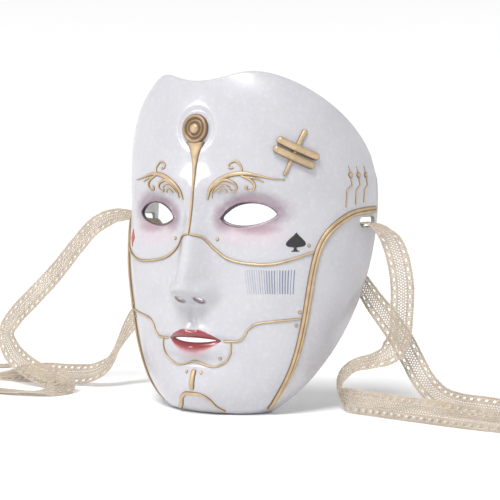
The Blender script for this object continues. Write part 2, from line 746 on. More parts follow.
def eye_black():
    f = Finish("Black lid edge")
    grain = f.noise(1.6, 3.0)
    base = f.mix(grain, (0.012, 0.010, 0.012), (0.05, 0.042, 0.046))
    return f.surface(Base_Color=base, Roughness=0.36 + 0.2 * grain, Normal=f.bump(grain, 0.25, 0.15))


def gilt_relief():
    f = Finish("Gilt relief")
    crest = f.given("crest")
    speck = f.noise(2.4, 4.0)
    cloud = f.noise(0.12, 2.0)
    tone = f.mix(cloud.fade(0.3, 0.7), shade(look().gilt, 0.86), shade(look().gilt, 1.12))
    dark = f.mix(crest.fade(0.22, 0.9), (0.17, 0.098, 0.05), tone)
    worn = f.mix(crest.fade(0.8, 1.0) * speck.fade(0.45, 0.7) * 0.55, dark, (0.80, 0.62, 0.36))
    rough = 0.36 + 0.3 * speck - 0.06 * crest
    return f.surface(Base_Color=worn, Roughness=rough, Metallic=0.25 + 0.3 * crest,
                     Normal=f.bump(speck, 0.3, 0.12), Coat_Weight=0.12, Coat_Roughness=0.3)


def suit_paint(name, deep, light):
    f = Finish(name)
    grain = f.noise(2.2, 3.0)
    base = f.mix(grain.fade(0.4, 0.75), deep, light)
    return f.surface(Base_Color=base, Roughness=0.3 + 0.2 * grain, Normal=f.bump(grain, 0.2, 0.08),
                     Coat_Weight=0.3, Coat_Roughness=0.2)


def pad_foam():
    f = Finish("Soft grey foam")
    cells = f.node("ShaderNodeTexVoronoi", {"feature": "F1"}, {"Vector": f.place, "Scale": 1.6})
    fine = f.noise(3.0, 3.0)
    base = f.mix(cells.fade(0.0, 0.6), (0.20, 0.20, 0.215), (0.40, 0.40, 0.42))
    return f.surface(Base_Color=base, Roughness=0.9, Normal=f.bump(cells * 0.8 + fine * 0.3, 0.7, 0.35),
                     Sheen_Weight=0.2, Sheen_Roughness=0.6)


# ---------------------------------------------------------------- what a user may change

class MaskSizes(bpy.types.PropertyGroup):
    ribbon_width: FloatProperty(name="Ribbon width", description="Across the lace, edge to edge",
                                default=0.017, min=0.008, max=0.03, unit="LENGTH")
    lace_pitch: FloatProperty(name="Lace repeat", description="From one eyelet of the lace to the next",
                              default=0.0061, min=0.003, max=0.02, unit="LENGTH")
    wall: FloatProperty(name="Wall", description="Thickness of the moulded shell",
                        default=0.0024, min=0.001, max=0.006, unit="LENGTH")
    line_height: FloatProperty(name="Relief height", description="How far the gilt lines stand off the face",
                               default=0.0013, min=0.0004, max=0.003, unit="LENGTH")
    rivet_radius: FloatProperty(name="Rivet radius", description="Radius of the small round rivets",
                                default=0.0013, min=0.0005, max=0.003, unit="LENGTH")
    rivet_rings: IntProperty(name="Rivet facets", description="Facets round each rivet",
                             default=18, min=8, max=32)


class MaskLook(bpy.types.PropertyGroup):
    lace: FloatVectorProperty(name="Lace", description="Colour of the cotton thread", subtype="COLOR",
                              default=(0.66, 0.56, 0.445), min=0, max=1)
    pearl: FloatVectorProperty(name="Pearl", description="Colour of the painted face", subtype="COLOR",
                               default=(0.508, 0.505, 0.538), min=0, max=1)
    gilt: FloatVectorProperty(name="Gilt", description="Colour of the raised gold paint", subtype="COLOR",
                              default=(0.53, 0.40, 0.25), min=0, max=1)
    lip: FloatVectorProperty(name="Lip", description="Colour of the painted lips", subtype="COLOR",
                             default=(0.29, 0.008, 0.014), min=0, max=1)
    shadow: FloatVectorProperty(name="Eye shadow", description="Colour of the airbrushed lids",
                                subtype="COLOR", default=(0.21, 0.10, 0.155), min=0, max=1)


def sizes():
    return bpy.context.scene.mask_sizes


def look():
    return bpy.context.scene.mask_look


class Maker:
    """What every piece's operator shares."""
    bl_options = {"REGISTER", "UNDO"}

    def execute(self, context):
        self.make()
        return {"FINISHED"}


# ---------------------------------------------------------------- lace ribbons

# Stops of each tail's middle line in millimetres, then the direction its face looks there
LEFT_FRONT = [
    (94.6, 42, 133.8, 0, 0, 1), (99, 42, 133.4, .2, 0, 1), (107, 41.5, 129, 1, -.3, .8),
    (115.5, 40, 120, 1, -.8, .4), (121, 39, 106, .8, -1, .2), (124, 38, 89, .7, -1, 0),
    (124, 37, 71, .8, -1, 0), (123, 35, 54, 1, -1, .2), (116, 33, 43, .5, -.9, .8),
    (104, 31, 37.5, 0, -.7, 1), (91, 30, 33.5, -.3, -.7, 1), (81, 29, 24, -1, -.9, .3),
    (81, 28, 14, -1, -.9, -.4), (91, 26, 9, 0, -1, .1), (108, 24, 8.6, 0, -1, .35),
    (128, 20, 8.4, 0, -1, .4), (152, 16, 8.2, 0, -1, .4), (177, 13, 7.6, 0, -1, .6),
    (202, 12, 6.5, 0, -.9, 1), (228, 14, 4, 0, -.4, 1), (252, 22, 2, 0, 0, 1),
    (270, 40, 1.4, 0, 0, 1), (276, 64, 1.4, 0, 0, 1), (267, 87, 1.4, 0, 0, 1),
    (246, 100, 1.4, 0, 0, 1), (222, 103, 1.4, 0, 0, 1)]
LEFT_BACK = [
    (94.2, 42, 133.8, 0, 0, 1), (89, 42, 133.6, -.2, 0, 1), (83.5, 43, 128.5, -1, .2, .8),
    (81, 44.5, 120, -1, .2, .1), (80, 49, 106, -.9, -.6, 0), (84, 54, 92, -.4, -1, 0),
    (93, 56, 78, -.3, -1, .2), (105, 56, 64, .1, -1, .2), (116, 56, 50, .4, -1, .2),
    (125, 55, 36, .7, -1, .2), (134, 55, 22, .6, -1, .5), (146, 54, 12, .2, -1, .6),
    (162, 51, 8.4, 0, -1, .4), (182, 47, 8.2, 0, -1, .4), (202, 45, 7.4, 0, -1, .7),
    (222, 44, 4.6, 0, -.5, 1), (239, 49, 2, 0, 0, 1), (248, 61, 1.4, 0, 0, 1),
    (243, 75, 1.4, 0, 0, 1), (228, 81, 1.4, 0, 0, 1), (206, 84, 1.4, 0, 0, 1),
    (192, 96, 1.4, 0, 0, 1), (190, 116, 1.4, 0, 0, 1), (200, 132, 1.4, 0, 0, 1)]
RIGHT_FRONT = [
    (-94.6, 42, 133.8, 0, 0, 1), (-98, 42, 134, 0, 0, 1), (-105, 41, 135.4, 0, -.2, 1),
    (-116.5, 38, 136.6, 0, -.7, 1), (-127.5, 35, 134, -.1, -1, .6), (-139.5, 32, 127, -.2, -1, .3),
    (-152.5, 29, 113, -.2, -1, .2), (-171, 25, 91, -.2, -1, .1), (-190, 20, 71, -.2, -1, 0),
    (-206.5, 16, 54, -.2, -1, 0), (-214, 14, 41, -.1, -1, 0), (-208.5, 13, 28, .2, -1, .1),
    (-195.5, 12, 18, .2, -1, .3), (-177.5, 11, 10.6, 0, -1, .3), (-159, 8, 8.6, 0, -1, .4),
    (-146, 2, 7.6, .4, -1, .6), (-139.5, -8, 6, 1, -.5, 1), (-144.5, -19, 4, .4, 0, 1),
    (-157.5, -25, 2.4, 0, .1, 1), (-177.5, -27, 1.6, 0, 0, 1), (-200, -26, 1.4, 0, 0, 1),
    (-222.5, -22, 1.4, 0, 0, 1), (-241, -10, 1.4, 0, 0, 1), (-250.5, 8, 1.4, 0, 0, 1)]
RIGHT_BACK = [
    (-94.2, 42, 133.8, 0, 0, 1), (-89, 42, 133.6, .2, 0, 1), (-83.5, 43, 128.5, 1, .2, .8),
    (-81, 44.5, 120, 1, .2, .1), (-80, 49, 106, .9, -.6, 0), (-84, 54, 92, .4, -1, 0),
    (-94, 56, 78, .3, -1, .2), (-107, 55, 64, 0, -1, .2), (-118, 51, 49, -.4, -1, .2),
    (-125.5, 46, 33, -.8, -1, .2), (-130.5, 39, 19, -.6, -1, .5), (-143.5, 36, 11, -.2, -1, .6),
    (-163, 33, 8.6, 0, -1, .4), (-185, 31, 8.4, 0, -1, .4), (-207.5, 30, 7, 0, -.9, .8),
    (-230, 30, 3.4, 0, -.4, 1), (-252, 32, 1.6, 0, 0, 1), (-272.5, 40, 1.4, 0, 0, 1),
    (-285.5, 56, 1.4, 0, 0, 1), (-285.5, 76, 1.4, 0, 0, 1), (-274.5, 92, 1.4, 0, 0, 1)]
LACE_SLACK = 0.62    # how far the threads wander from their pattern, in millimetres
TAILS = {"ribbon_left_front": LEFT_FRONT, "ribbon_left_back": LEFT_BACK,
         "ribbon_right_front": RIGHT_FRONT, "ribbon_right_back": RIGHT_BACK}


def centripetal(stops, spacing):
    """A smooth curve through the stops that never overshoots, evenly spaced."""
    rows = np.array(stops, float)
    rows = np.vstack([2 * rows[0] - rows[1], rows, 2 * rows[-1] - rows[-2]])
    dense = []
    for i in range(len(rows) - 3):
        p = rows[i:i + 4]
        knots = np.concatenate([[0], np.cumsum(np.linalg.norm(np.diff(p[:, :3], axis=0), axis=1) ** 0.5)])
        t = np.linspace(knots[1], knots[2], 24, endpoint=False)[:, None]

        def between(a, b, low, high):
            return a * (knots[high] - t) / (knots[high] - knots[low]) + b * (t - knots[low]) / (
                knots[high] - knots[low])

        first = [between(p[k], p[k + 1], k, k + 1) for k in range(3)]
        second = [between(first[k], first[k + 1], k, k + 2) for k in range(2)]
        dense.append(between(second[0], second[1], 1, 2))
    return evenly(np.vstack(dense + [rows[-2:-1]]), spacing)


def lace_repeat(width, pitch):
    """One repeat of the lace: scalloped borders, a row of eyelets inside each, and a fine net."""
    half = width / 2 / MM
    pitch = pitch / MM
    shape = Build()

    def thread(xs, ys, radius, sides=4, ring=False, squash=1.0, lift=0.0):
        path = np.stack([xs, ys, np.full_like(xs, lift)], axis=-1)
        points, faces, uv = tube(path, radius, sides, ring, squash)
        shape.add(points, faces, None, uv)

    steps = np.linspace(0, pitch, 13)
    turns = steps / pitch * 2 * math.pi
    for side in (-1, 1):
        thread(steps, side * (half - 0.55 + 0.22 * np.cos(3 * turns)), 0.45)
        thread(steps[::3], side * (half - 1.25 + 0 * steps[::3]), 0.42)
        thread(steps, side * (half - 0.9 + 0.36 * np.sin(3 * turns)), 0.3, 3, lift=0.28)
        circle = np.arange(12) / 12 * 2 * math.pi
        thread(pitch / 2 + 1.9 * np.cos(circle), side * (half - 3.05) + 1.35 * np.sin(circle) * side,
               0.58, 4, True, 0.75)
        for lean in (-0.34, 0.34):
            ys = np.linspace(half - 1.3, half - 4.7, 4)
            thread(pitch * (1 + lean / 8) + lean * np.array([1, 0.2, 0.2, 1]) - pitch * (lean > 0),
                   side * ys, 0.34, 3)
        thread(steps[::3], side * (half - 4.75 + 0 * steps[::3]), 0.42)
    rows = np.linspace(-(half - 5.35), half - 5.35, 5)
    xs = np.linspace(0, pitch, 19)
    for k, row in enumerate(rows):
        sway = 0.5 * np.cos(xs / pitch * 6 * math.pi + math.pi * k)
        thread(xs, row + sway, 0.46, 4, lift=0.15 * (-1) ** k)
    points = np.vstack(shape.points) * MM
    points[:, 0] /= pitch * MM
    return points, shape.faces, np.ones(len(points)), np.vstack(shape.uv)


class MASK_OT_ties(Maker, bpy.types.Operator):
    """Make the four lace ribbon tails"""
    bl_idname = "mask.ties"
    bl_label = "Lace ribbons"

    def make(self):
        thread = lace_thread()
        for number, (name, stops) in enumerate(TAILS.items()):
            path = centripetal(stops, 1.5)
            middle = path[:, :3]
            ahead = unit(np.gradient(middle, axis=0))
            across = unit(np.cross(ahead, path[:, 3:]))
            length = float(travelled(middle)[-1])
            repeats = round(length * MM / sizes().lace_pitch)
            repeat = lace_repeat(sizes().ribbon_width, length * MM / repeats)
            above = np.cross(across, ahead)
            mesh = follow(middle, across, above, repeat, repeats, thread, LACE_SLACK, number)
            ribbon = linked(name + "_lace", mesh)
            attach(ribbon, BODY)
            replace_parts(ribbon, name)
            tuple(middle[0] * MM)
            (middle * MM).tolist()


# ---------------------------------------------------------------- moulded shell

COLUMN_BANDS = [(-90, 1.0), (-46, 0.66), (46, 1.0), (90, 1.0)]
ROW_BANDS = [(0, 1.3), (34, 0.8), (70, 1.0), (150, 1.5), (240, 1.5)]
SPREAD = 1.6    # millimetres of surface that one degree covers near the front


def banded(bands):
    marks = [bands[0][0]]
    for (start, step), (end, _) in zip(bands, bands[1:]):
        count = math.ceil((end - start) / step)
        marks.extend(start + (end - start) * (k + 1) / count for k in range(count))
    return np.array(marks, float)


def top_edge(angle):
    dip = EDGE_DIP * np.exp(-(angle / 30) ** 2)
    return EDGE_LOW + EDGE_RISE * np.sqrt(1 - (np.abs(angle) / 90) ** 4.5) - dip


def nostril_gap(side, z):
    return (np.hypot((side - 8) / 3.4, (z - NOSE_Z - 1.5) / 2.3) - 1) * 2.6


def mouth_gap(side, z):
    return almond(side, z, 0, MOUTH_Z, MOUTH_HALF, MOUTH_UP, MOUTH_UP, 0)


def slot_gap(y, z):
    core = (SLOT["length"] - SLOT["height"]) / 2
    return np.hypot(np.maximum(np.abs(y - SLOT["y"]) - core, 0), z - SLOT["z"]) - SLOT["height"] / 2


def opening_gaps(angle, z):
    """Distance outside each kind of opening: eyes, nostrils, mouth, ribbon slots."""
    point = face_point(angle, z)
    side = np.abs(point[..., 0])
    return np.stack([eye_gap(side, z), nostril_gap(side, z), mouth_gap(side, z),
                     slot_gap(point[..., 1], z)])


def inner_point(angle, z, wall):
    """The inside of the shell follows the face without its finest detail."""
    out = face_normal(angle, z, 2.5)
    return face_point(angle, z) - wall * out


class Shell:
    """The moulded face as one closed skin with rounded edges at the rim and at every opening."""
    ROLL = (0.08, 0.3, 0.7, 0.92)    # where the rows of an edge lie between the two faces
    BULGE = 0.75                     # how far an edge is rounded outwards, in millimetres
    REACH, STRIDE, MOVES = 0.15, 0.6, 8    # millimetres felt and moved in each of the corners' moves
    EASED, EASINGS = 3.0, 4          # corners this near an opening are evened out, so many times

    def __init__(self, wall):
        self.wall = wall
        angles, heights = banded(COLUMN_BANDS), banded(ROW_BANDS)
        self.angle = np.tile(angles, (len(heights), 1))
        self.z = top_edge(self.angle) * heights[:, None] / HEIGHT
        self.cut()

    def cells(self):
        at = np.arange(self.angle.size).reshape(self.angle.shape)
        return np.stack([at[:-1, :-1], at[:-1, 1:], at[1:, 1:], at[1:, :-1]], axis=-1).reshape(-1, 4)

    def off_rim(self, corners):
        """A grid of the corners given by number, without those on the rim."""
        chosen = np.zeros(self.angle.size, bool)
        chosen[corners] = True
        chosen = chosen.reshape(self.angle.shape)
        chosen[[0, -1]] = chosen[:, [0, -1]] = False
        return chosen

    def cut(self):
        """Drops the cells inside an opening and moves the cells' corners round it onto its outline."""
        cells = self.cells()
        gaps = opening_gaps(self.angle.ravel()[cells], self.z.ravel()[cells])
        inside = (gaps.mean(axis=-1) < 0).any(axis=0)
        self.cells_kept = cells[~inside]
        near = self.off_rim(np.array(boundary_edges(self.cells_kept)).ravel())
        angle, z = self.angle, self.z
        a, h = angle[near], z[near]
        kind = np.abs(opening_gaps(a, h)).argmin(axis=0)
        pick = (kind, np.arange(len(kind)))
        reach = self.REACH
        turn = reach / SPREAD
        for _ in range(self.MOVES):
            value = opening_gaps(a, h)[pick]
            slope_s = (opening_gaps(a + turn, h)[pick] - opening_gaps(a - turn, h)[pick]) / (2 * reach)
            slope_z = (opening_gaps(a, h + reach)[pick] - opening_gaps(a, h - reach)[pick]) / (2 * reach)
            steep = np.maximum(slope_s ** 2 + slope_z ** 2, 0.05)
            move_s, move_z = -value * slope_s / steep, -value * slope_z / steep
            shorten = np.minimum(1, self.STRIDE / np.maximum(np.hypot(move_s, move_z), 1e-6))
            a, h = a + move_s * shorten / SPREAD, h + move_z * shorten
        angle[near], z[near] = a, h
        self.kind = np.full(self.angle.shape, -1)
        self.kind[near] = kind
        loose = self.off_rim(self.cells_kept.ravel()) & ~near
        loose &= opening_gaps(angle, z).min(axis=0) < self.EASED
        for _ in range(self.EASINGS):
            for grid in (angle, z):
                middle = (np.roll(grid, 1, 0) + np.roll(grid, -1, 0) + np.roll(grid, 1, 1)
                          + np.roll(grid, -1, 1)) / 4
                grid[loose] = 0.5 * grid[loose] + 0.5 * middle[loose]

    def mesh(self):
        """Points, faces and each face's finish: 0 outside, 1 inside, 2 the painted eye walls."""
        outer = face_point(self.angle, self.z).reshape(-1, 3)
        inner = inner_point(self.angle, self.z, self.wall).reshape(-1, 3)
        keep = np.unique(self.cells_kept)
        number = np.full(len(outer), -1)
        number[keep] = np.arange(len(keep))
        kept = number[self.cells_kept]
        faces = kept.tolist() + (kept + len(keep))[:, ::-1].tolist()
        finish = [0] * len(kept) + [1] * len(kept)
        points = [outer[keep], inner[keep]]
        count = 2 * len(keep)
        edges = boundary_edges(self.cells_kept)
        rim = sorted({corner for edge in edges for corner in edge})
        centre = outer[self.cells_kept].mean(axis=1)
        away, share = np.zeros_like(outer), np.zeros(len(outer))
        for corner in range(4):
            np.add.at(away, self.cells_kept[:, corner], outer[self.cells_kept[:, corner]] - centre)
            np.add.at(share, self.cells_kept[:, corner], 1)
        ring_of = {}
        through = unit(inner - outer)
        kind = self.kind.ravel()
        for corner in rim:
            push = away[corner] - np.dot(away[corner], through[corner]) * through[corner]
            push = push / max(np.linalg.norm(push), 1e-6)
            start, end = outer[corner], inner[corner]
            bulge = self.BULGE * (0.5 if kind[corner] in (0, 2) else 1)
            ring_of[corner] = count
            for t in self.ROLL:
                lift = bulge * (1 - abs(2 * t - 1) ** 2.6)
                points.append((start * (1 - t) + end * t + lift * push)[None])
            count += len(self.ROLL)
        for a, b in edges:
            chain_a, chain_b = ([number[c], *range(ring_of[c], ring_of[c] + len(self.ROLL)),
                                 number[c] + len(keep)] for c in (a, b))
            eye = kind[a] == 0 or kind[b] == 0
            for k in range(len(chain_a) - 1):
                faces.append([chain_b[k], chain_a[k], chain_a[k + 1], chain_b[k + 1]])
                finish.append(2 if eye else (0 if k < 2 else 1))
        return np.vstack(points), faces, finish


def boundary_edges(cells):
    """Directed edges that only one cell uses, in that cell's own turning direction."""
    pairs = np.concatenate([cells[:, [k, (k + 1) % 4]] for k in range(4)])
    ordered = np.sort(pairs, axis=1)
    _, first, count = np.unique(ordered, axis=0, return_index=True, return_counts=True)
    return [tuple(pairs[i]) for i in first[count == 1]]


def foot_plate():
    """The flat foot inside the chin, on which the mask stands."""
    angles = np.linspace(-90, 90, 49)
    outline = face_point(angles, 0 * angles + 0.0)[:, :2] * 0.985
    outline = outline[outline[:, 1] < FOOT_REAR_Y]
    ring = np.vstack([outline, [[outline[-1, 0], FOOT_REAR_Y], [outline[0, 0], FOOT_REAR_Y]]])
    centre = ring.mean(axis=0)
    rows = []
    for inset, high in ((1.2, 0.0), (0.3, 0.0), (0.0, 0.6), (0.0, FOOT_THICK - 0.6), (0.5, FOOT_THICK)):
        away = unit(ring - centre)
        rows.append(np.hstack([ring - away * inset, np.full((len(ring), 1), high)]))
    return np.vstack(rows), ring_faces(len(rows), len(ring))


class MASK_OT_shell(Maker, bpy.types.Operator):
    """Make the moulded face with its openings and its flat foot"""
    bl_idname = "mask.shell"
    bl_label = "Moulded shell"

    def make(self):
        points, faces, finish = Shell(sizes().wall / MM).mesh()
        plate, plate_faces = foot_plate()
        faces += [[i + len(points) for i in face] for face in plate_faces]
        finish += [1] * len(plate_faces)
        points = np.vstack([points, plate])
        lid = np.maximum(0, eye_gap(np.abs(points[:, 0]), points[:, 2]))
        paints = [pearl_face(), inner_plain(), eye_black()]
        face = new_mesh("moulded_face", points, faces, paints, "pearl_shell", {"lid": lid}, indices=finish)
        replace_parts(face, "mask_shell")


# ---------------------------------------------------------------- gilt pieces

class GiltMaker(Maker):
    """Builds gilt pieces; shapes() yields each piece's name, its CAD nodes and its Build."""

    def make(self):
        gilt = bpy.data.materials.get("Gilt relief") or gilt_relief()
        self.high = sizes().line_height / MM
        for name, nodes, build in self.shapes():
            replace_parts(build.piece(name, gilt, "gilt"), *nodes)


# Rows of radius and height: outer rim, groove, inner ring, dish, then the domed boss
MEDALLION_ROWS = [(10.3, -0.9), (10.3, 0.5), (10.0, 1.3), (9.4, 1.85), (8.7, 2.0), (8.0, 1.75), (7.5, 1.1),
                  (7.1, 0.7), (6.6, 0.8), (6.2, 1.35), (5.7, 1.65), (5.1, 1.45), (4.7, 0.95), (4.3, 0.8),
                  (3.9, 0.95), (3.6, 1.7), (3.0, 2.5), (2.1, 3.05), (1.1, 3.3), (0.12, 3.36)]


class MASK_OT_medallion(GiltMaker, bpy.types.Operator):
    """Make the brow medallion and the drip that runs from it down the nose"""
    bl_idname = "mask.medallion"
    bl_label = "Medallion and drip"

    def shapes(self):
        medal = Build()
        turned(medal, (0.0, MEDALLION[1]), MEDALLION_ROWS)
        yield "brow_medallion", ["medallion", "medallion_dome"], medal
        drip = Build()
        stops = front([(0, MEDALLION[1] - 8.5), (0, 182), (0, 176), (0, 165), (0, 150), (0, 138), (0, 126.2)])
        widths = [16, 9.6, 5.8, 3.8, 2.8, 2.4, 2.2, 2.1, 2.1, 2.1, 2.1, 2.1, 2.1]
        relief_line(drip, stops, widths, [1.5, 1.5, 1.4] + [self.high] * 7, ease=(0.1, 0.6))
        yield "nose_drip", ["drip_stem"], drip


# Strokes of one brow scroll in x and z, each with its widths from start to end
SCROLL = [
    ([(10, 150.5), (12.5, 157.5), (18, 163), (27, 167.5), (37, 168.8), (46, 167.3), (55, 165.3), (62, 164.6)],
     [1.4, 2.7, 2.9, 3.0, 3.2, 2.3, 1.5, 1.1, 0.8]),
    ([(35, 168.6), (35, 173), (31, 177.2), (26.5, 175.3), (26.8, 172.6), (29.8, 172.8)],
     [2.2, 1.6, 1.7, 1.3, 1.1, 1.8]),
    ([(35, 167.6), (42, 164), (43.7, 160), (41, 157), (37.8, 158.6), (39.4, 160.6)],
     [1.4, 2.0, 2.2, 1.7, 1.3, 1.8]),
    ([(11.8, 156), (16.8, 161), (24.1, 164.4), (30.5, 162.3), (32, 158.9), (28.9, 156.3), (27, 158.4)],
     [0.9, 1.7, 2.2, 2.4, 2.0, 1.3, 1.6]),
    ([(14.6, 155.2), (19.4, 159.4), (24.6, 160.9), (28.2, 158.8)], [0.8, 1.5, 1.7, 1.0, 0.6]),
    ([(18.2, 155.2), (21.8, 157.6), (24.8, 157.1), (24.3, 155.3)], [0.7, 1.3, 1.3, 0.8]),
    ([(13.6, 151.5), (14.6, 156.8), (19, 161.4), (26, 165.6)], [0.6, 1.0, 0.9, 0.8, 0.5]),
    ([(38, 166.6), (44.5, 165.4), (50, 163)], [0.8, 1.5, 1.2, 0.5]),
]


class MASK_OT_scrolls(GiltMaker, bpy.types.Operator):
    """Make the scrolls over both brows"""
    bl_idname = "mask.scrolls"
    bl_label = "Brow scrolls"

    def shapes(self):
        for word, side in (("left", 1), ("right", -1)):
            build = Build()
            for stops, widths in SCROLL:
                relief_line(build, front([(side * x, z) for x, z in stops]), widths,
                            [self.high * (0.45 + 0.2 * w) for w in widths], spacing=0.6)
            yield f"brow_filigree_{word}", [f"brow_scroll_{word}"], build


# Half lines of angle and z, then half lines of x and z on the front
BAND = [(89, 143.6), (80, 142.5), (72, 140), (64, 133), (58, 122), (55.5, 105), (55.5, 78), (58.5, 49),
        (65, 18), (72, 4)]
CHEEK_SEAM = front([(0.6, 127.2), (8, 125), (15, 117.5), (26, 110), (42, 107), (58, 107.5)]) + [(54.6, 115)]
JAW_SEAM = [(54.3, 69), (46, 68.2), (38.8, 67.2), (31.5, 65.6), (28, 62), (26.6, 57.5), (24.5, 53.9),
            (20.5, 53), (16, 53.2)]
LIP_SEAM = [(28, 52.6), (27.5, 45), (23.5, 38.8), (16, 35), (8, 35.8), (0, 38.2)]
ARCH = [(19, 2.5), (14.5, 6.5), (11.5, 11.5), (6.5, 15), (0, 15.6)]


def both_halves(half):
    return front(mirrored(half) + half[-2::-1])


class MASK_OT_seams(GiltMaker, bpy.types.Operator):
    """Make the bands and seams that part the face into plates"""
    bl_idname = "mask.seams"
    bl_label = "Bands and seams"

    def shapes(self):
        pairs = [("side_cord", "side_band", BAND, [5.0, 5.2, 5.4, 5.4, 5.2, 4.8, 4.2],
                  {"height": 1.9, "profile": double_ridge(), "spacing": 1.0}),
                 ("cheek_cord", "cheek_seam", CHEEK_SEAM, [1.5, 1.9, 2.0, 2.0, 1.9, 1.7],
                  {"height": self.high}),
                 ("jaw_cord", "jaw_seam", JAW_SEAM, [1.6, 1.5, 1.4], {"height": self.high * 0.8})]
        for word, side in (("left", 1), ("right", -1)):
            for name, node, stops, widths, rest in pairs:
                build = Build()
                relief_line(build, [(side * angle, z) for angle, z in stops], widths, **rest)
                yield f"{name}_{word}", [f"{node}_{word}"], build
        bar = front([(0, 32.6), (0, 28), (0, 23), (0, 18.2)])
        middles = [("lip_plate_cord", "lip_seam", both_halves(LIP_SEAM), [1.3, 1.4, 1.5, 1.4, 1.3],
                    {"height": self.high * 0.75}),
                   ("chin_arc", "chin_arch", both_halves(ARCH), [3.3, 3.4, 3.1, 2.4, 1.8, 1.5],
                    {"height": self.high}),
                   ("chin_pill", "chin_bar", bar, 4.2, {"height": 1.6, "ease": (2.1, 2.1), "spacing": 0.5})]
        for name, node, stops, widths, rest in middles:
            build = Build()
            relief_line(build, stops, widths, **rest)
            yield name, [node], build


class MASK_OT_clip(GiltMaker, bpy.types.Operator):
    """Make the pinned clip over one brow"""
    bl_idname = "mask.clip"
    bl_label = "Brow clip"
    ROD_HALF, ROD_WIDTH, APART = 15.6, 5.4, 6.6
    PIN_HALF = 17.5

    def shapes(self):
        place, across, up, _ = seat_basis(*CLIP)
        lean = CLIP_TILT * RAD
        along = math.cos(lean) * across + math.sin(lean) * up
        over = math.cos(lean) * up - math.sin(lean) * across

        def laid(start, end):
            """Stops on the face under a straight line between two points beside the clip's middle."""
            marks = np.linspace(start, end, 7)
            flat = place + marks[:, :1] * along + marks[:, 1:] * over
            return list(zip(angle_at(flat[:, 0], flat[:, 2]), flat[:, 2]))

        for name, node, offset in (("clip_rod_upper", "clip_bar_upper", self.APART / 2),
                                   ("clip_rod_lower", "clip_bar_lower", -self.APART / 2)):
            rod = Build()
            stops = laid((-self.ROD_HALF, offset), (self.ROD_HALF, offset))
            relief_line(rod, stops, self.ROD_WIDTH, 3.0, flat_round(), 0.5, [self.ROD_WIDTH / 2] * 2, 1.3)
            yield name, [node], rod
        needle = Build()
        stops = laid((0, -self.PIN_HALF), (0, self.PIN_HALF))
        relief_line(needle, stops, [2.4, 2.8, 3.4, 4.0], 2.1, flat_round(), 0.5, (1.2, 2.0))
        yield "clip_needle", ["clip_pin"], needle


TRACES = [(72.5, -3.2), (77.5, -2.6), (82.5, -2.2)]


class MASK_OT_traces(GiltMaker, bpy.types.Operator):
    """Make the three fine jogged lines at one temple"""
    bl_idname = "mask.traces"
    bl_label = "Temple lines"

    def shapes(self):
        for number, (angle, jog) in enumerate(TRACES, 1):
            build = Build()
            foot = 145.2 + (angle + jog - 69) * 0.28
            corners = [(angle, STUD_Z - 1.6), (angle + 0.5, 161), (angle + 0.5 + jog, 157.2),
                       (angle + jog, foot)]
            stops = []
            for (a0, z0), (a1, z1) in zip(corners, corners[1:]):
                stops += [(a0 + (a1 - a0) * k / 4, z0 + (z1 - z0) * k / 4) for k in range(4)]
            relief_line(build, stops + [corners[-1]], 1.1, 0.7, spacing=0.45)
            tick = [(angle - 0.6, STUD_Z + 6.5), (angle, STUD_Z + 1.4)]
            relief_line(build, tick, [0.5, 1.0], 0.6, spacing=0.45)
            yield f"temple_line_{number}", [f"trace_{number}"], build


# ---------------------------------------------------------------- rivets and studs

def rivet_tree():
    """Sets a domed head on every point, standing along the face's own outward direction."""
    tree, given, add, end = node_tree("Rivets on the face", [
        ("Radius", "NodeSocketFloat"), ("Facets", "NodeSocketInt"), ("Material", "NodeSocketMaterial")])
    ball = add("GeometryNodeMeshUVSphere", Segments=given["Facets"], Rings=10, Radius=given["Radius"])
    spot = add("GeometryNodeInputPosition")
    over = add("ShaderNodeSeparateXYZ", Vector=spot.outputs[0])
    share = add("ShaderNodeMath", {"operation": "DIVIDE"}, i0=over.outputs["Z"], i1=given["Radius"])
    crest = add("GeometryNodeStoreNamedAttribute", {"data_type": "FLOAT", "domain": "POINT"},
                Geometry=ball.outputs["Mesh"], Name="crest")
    value = next(s for s in crest.inputs if s.name == "Value" and s.type == "VALUE")
    tree.links.new(share.outputs[0], value)
    low = add("GeometryNodeTransform", Geometry=crest.outputs[0], Scale=(1, 1, 0.72))
    facing = add("GeometryNodeInputNamedAttribute", {"data_type": "FLOAT_VECTOR"}, Name="out")
    size = add("GeometryNodeInputNamedAttribute", {"data_type": "FLOAT_VECTOR"}, Name="side")
    turn = add("FunctionNodeAlignRotationToVector", {"axis": "Z"}, Vector=vector_of(facing.outputs))
    heads = add("GeometryNodeInstanceOnPoints", Points=given["Geometry"], Instance=low.outputs[0],
                Rotation=turn.outputs[0], Scale=vector_of(size.outputs))
    return end(heads.outputs[0], given["Material"])


RIVETS = [(10.5, 123.5), (-10.5, 123.5), (51.8, 119.5), (52.3, 73.5), (52.3, 64.3), (-52.3, 73.5),
          (-52.3, 64.3), (15.5, 41)]
CHIN_MARK = (6, 30.4)


